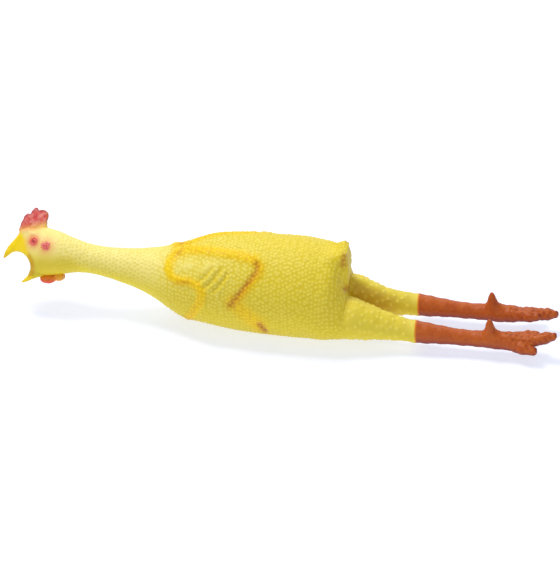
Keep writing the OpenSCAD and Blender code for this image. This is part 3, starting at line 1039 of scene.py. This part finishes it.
def combTints(found):
    u, _, w = toHead(*found.T)
    inside = -outlineField(u, w, comb["outline"])
    rim = smoothStep(2.2, 0.4, inside) * smoothStep(20, 25, w)
    foot = smoothStep(31, 21.5, w + 0.3 * (u - 30))
    rear = smoothStep(23, 18, u - 0.2 * (w - 34)) * smoothStep(26, 34, w)
    return {"paint": np.stack([rim, foot, rear], axis=1)}


fleshColours = {
    "red": colour(0.70, 0.065, 0.06), "pink": colour(0.92, 0.37, 0.31), "rim": colour(0.36, 0.03, 0.03),
    "foot": colour(0.92, 0.60, 0.15), "rear": colour(0.80, 0.26, 0.02), "cream": colour(0.86, 0.42, 0.26),
    "eyeSkin": colour(0.74, 0.13, 0.11), "eyeRing": colour(0.76, 0.085, 0.05),
    "wattle": colour(0.82, 0.045, 0.012), "wattlePale": colour(0.88, 0.13, 0.02),
    "wattleGold": colour(0.90, 0.40, 0.01), "wattleRust": colour(0.50, 0.13, 0.01),
}


def combBuild(wire):
    rim, foot, rear = wire.channels("paint")
    patch, fine = wire.noise(230, 3), wire.noise(700, 2)
    c = fleshColours
    body = (patch.between(0.3, 0.75) * 0.8).mix(c["red"], c["pink"])
    body = (rim * 0.7).mix(body, c["rim"])
    body = (rear * 0.8).mix(body, c["rear"])
    body = (foot + (patch - 0.5) * foot).mix(body, c["foot"])
    rough = bump(wire, patch + fine * 0.4, 0.0008, 0.5)
    return {"Base Color": body, "Roughness": 0.4 + 0.15 * fine, "Normal": rough}


combMaterial = newMaterial("combFlesh", combBuild)
piece = fieldPiece("combFlesh", combField, *grownBox("comb", 4), fleshCell, combTints, combMaterial)
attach(piece, "comb")
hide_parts("comb")


def skinPatch(name, mark, side, liftOf, material):
    # a round patch laid on the head; its edge dips under the skin
    steps = np.linspace(-1, 1, 33)
    a, b = (grid.ravel() for grid in np.meshgrid(steps, steps, indexing="ij"))
    across = a * np.sqrt(1 - b * b / 2) * mark["radius"]
    along = b * np.sqrt(1 - a * a / 2) * mark["radius"]
    aside = np.full(len(a), side * mark["aside"])
    flat = np.stack(fromHead(mark["u"] + across, aside, mark["w"] + along), axis=1)
    laid, outward = settle(birdField, flat, 14)
    lift, tint = liftOf(across, along)
    laid = laid + outward * lift[:, None]
    n = len(steps)
    i, j = (grid.ravel() for grid in np.meshgrid(np.arange(n - 1), np.arange(n - 1), indexing="ij"))
    quads = np.stack([i * n + j, (i + 1) * n + j, (i + 1) * n + j + 1, i * n + j + 1], axis=1)
    if side > 0:
        quads = quads[:, ::-1]
    return writePiece(name, laid, quads, vertexNormals(laid, quads), {"paint": tint}, material)


def eyeLift(a, b):
    r = np.hypot(a, b)
    ring, pupil = np.exp(-((r - 3.1) / 0.85) ** 2), np.clip(1 - (r / 2.0) ** 2, 0, 1)
    lift = 0.15 + 0.75 * ring + 0.75 * np.sqrt(pupil) - 0.7 * smoothStep(4.0, 5.0, r)
    return lift, np.stack([ring, pupil, smoothStep(4.4, 3.2, r)], axis=1)


def earLift(a, b):
    r, turn = np.hypot(a, b), np.arctan2(b, a)
    reach = 4.7 + 0.7 * np.sin(3 * turn + 1) + 0.35 * np.sin(5 * turn)
    bumpy = lumps(a, b, a + b, 2.6)
    lift = 0.35 + 0.35 * bumpy + 0.5 * smoothStep(4, 0, r) - 1.0 * smoothStep(reach - 1.2, reach, r)
    return lift, np.stack([0.5 + 0.5 * bumpy, smoothStep(reach, reach - 2, r), np.zeros(len(r))], axis=1)


def eyeBuild(wire):
    ring, pupil, inner = wire.channels("paint")
    fine = wire.noise(900, 2)
    c = fleshColours
    body = inner.mix(c["cream"], c["eyeSkin"])
    body = (ring * (0.7 + 0.5 * fine)).mix(body, c["eyeRing"])
    body = (pupil.between(0.05, 0.7) * 0.9).mix(body, c["rim"])
    return {"Base Color": body, "Roughness": 0.3 + 0.1 * fine}


def earBuild(wire):
    bumpy, inner, _ = wire.channels("paint")
    fine = wire.noise(700, 2)
    c = fleshColours
    flesh = (bumpy * 0.7 + fine * 0.5).between(0.35, 1.3).mix(c["red"], c["pink"])
    return {"Base Color": inner.mix(c["cream"], flesh), "Roughness": 0.35 + 0.15 * fine}


eyeMaterial, earMaterial = newMaterial("eyeRing", eyeBuild), newMaterial("earPatch", earBuild)
for side, name in sides:
    piece = skinPatch(name + "EyeRing", head["eye"], side, eyeLift, eyeMaterial)
    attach(piece, "head")
    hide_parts(name + "_eye")
    piece = skinPatch(name + "EarPatch", head["ear"], side, earLift, earMaterial)
    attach(piece, "head")
    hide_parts(name + "_ear")


# two lobes of flesh, placed from the middle of the plain part; aside is a share of its sideways place
wattle = {
    "front": {"back": 1.8, "aside": 1, "up": 0.3, "size": (7.2, 3.3, 4.2)},
    "rear": {"back": 11.8, "aside": 0.75, "up": 3.2, "size": (5.4, 3.4, 4.2)},
}


def wattleFieldAt(middle):
    u0, v0, w0 = toHead(*middle)

    def field(x, y, z):
        u, v, w = toHead(x, y, z)
        front, rear = (
            ellipsoid(u, v, w, (u0 - lobe["back"], v0 * lobe["aside"], w0 + lobe["up"]), lobe["size"])
            for lobe in (wattle["front"], wattle["rear"])
        )
        return join(front, rear, 1.2) - 0.15 * lumps(u, v, w, 3.4)
    return field


def wattleTints(found):
    u, _, w = toHead(*found.T)
    rear, top, tip = smoothStep(11, 6.5, u), smoothStep(-27, -22, w), smoothStep(4, 0, u)
    return {"paint": np.stack([rear, top, tip], axis=1)}


def wattleBuild(wire):
    rear, top, tip = wire.channels("paint")
    patch = wire.noise(300, 2)
    c = fleshColours
    body = patch.between(0.35, 0.7).mix(c["wattle"], c["wattlePale"])
    body = rear.mix((top * 0.5).mix(body, c["wattleGold"]), c["wattleGold"])
    return {"Base Color": (tip * 0.8).mix(body, c["wattleRust"]), "Roughness": 0.35 + 0.1 * patch}


wattleMaterial = newMaterial("wattleFlesh", wattleBuild)
for _, name in sides:
    low, high = grownBox(name + "_wattle", 9)
    field = wattleFieldAt((low + high) / 2)
    piece = fieldPiece(name + "WattleFlesh", field, low, high, fleshCell, wattleTints, wattleMaterial)
    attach(piece, "head")
    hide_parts(name + "_wattle")
print("comb, eyes, ears and wattles written")


# ---------- the squeaker in the belly ----------
def moulded(main, shade):
    def build(wire):
        slow, fine = wire.noise(120), wire.noise(1200)
        return {"Base Color": slow.mix(main, shade), "Roughness": 0.4 + 0.2 * fine}
    return build


squeakerLooks = {
    "squeaker_cup": moulded(colour(0.80, 0.80, 0.76), colour(0.68, 0.68, 0.63)),
    "squeaker_reed": moulded(colour(0.62, 0.42, 0.10), colour(0.50, 0.32, 0.07)),
}
for name, build in squeakerLooks.items():
    node = frame["nodes"][name]
    node.data.materials.clear()
    node.data.materials.append(newMaterial(name, build))


buildStage()
